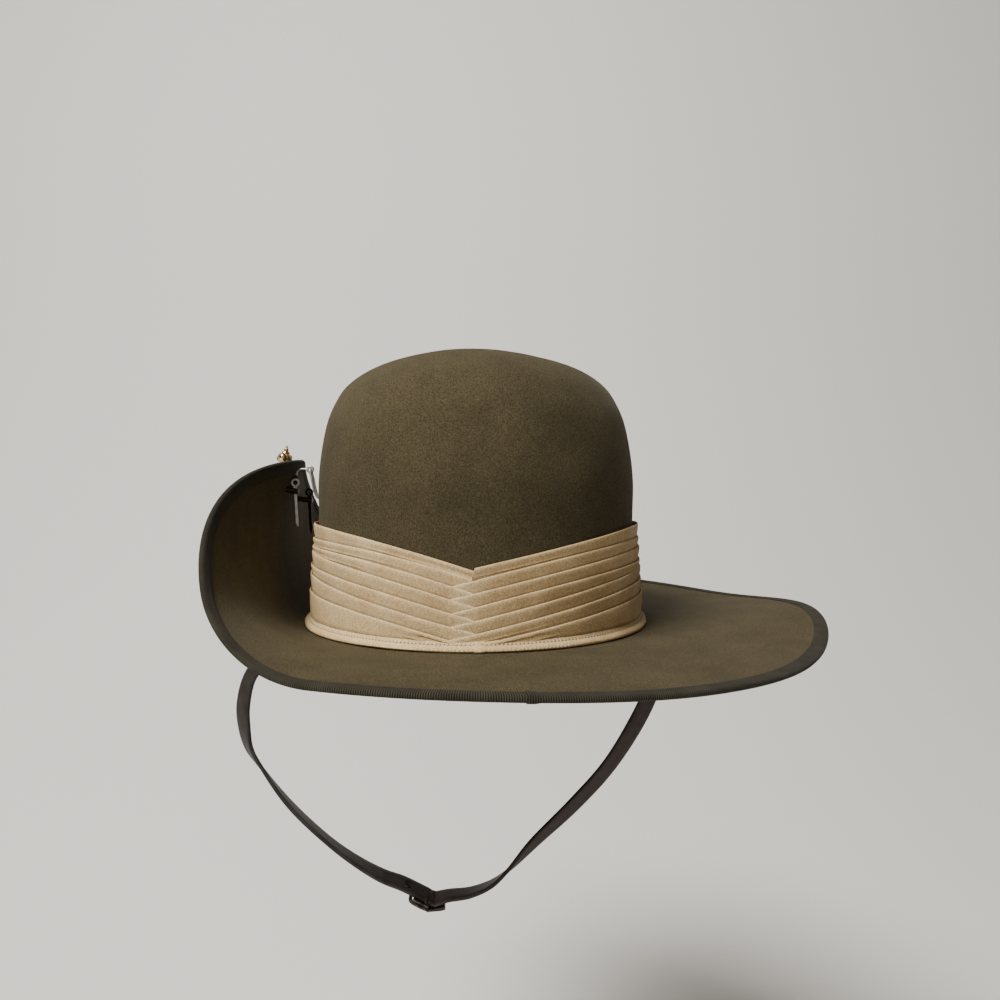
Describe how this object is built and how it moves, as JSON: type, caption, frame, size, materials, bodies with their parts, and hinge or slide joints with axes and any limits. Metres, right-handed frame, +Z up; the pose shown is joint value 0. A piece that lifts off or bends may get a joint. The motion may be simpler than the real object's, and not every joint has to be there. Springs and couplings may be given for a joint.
{
  "type": "slouch hat",
  "caption": "Wide-brimmed felt slouch hat with one side of the brim hooked up, a pleated cloth band, bound edge, badge and buckled chin strap.",
  "frame": {"origin": "middle of the head opening, in the plane where the crown meets the brim", "axes": "+Z up through the crown, -X towards the side of the brim that is hooked up, -Y towards the end where the pleats of the band meet in a point, Y along the length of the hat"},
  "size_m": [0.312, 0.3719, 0.2903],
  "materials": {
    "felt": "brushed wool felt, matt, olive brown",
    "binding": "ribbed grosgrain ribbon, very dark olive",
    "band_cloth": "matt pleated cotton, tan",
    "strap_leather": "worn near-black brown leather, satin",
    "dark_metal": "blackened steel, worn",
    "steel_wire": "bright drawn steel wire",
    "brass": "lacquered brass"
  },
  "bodies": {
    "root": {"crown_and_brim": "felt", "brim_binding": "binding", "pleated_band": "band_cloth", "chin_strap_long": "strap_leather", "chin_strap_short": "strap_leather", "strap_buckle": "dark_metal", "flap_hook": "steel_wire", "crown_eye": "steel_wire", "badge": "brass", "split_pin_near": "steel_wire", "split_pin_far": "dark_metal"}
  },
  "joints": []
}
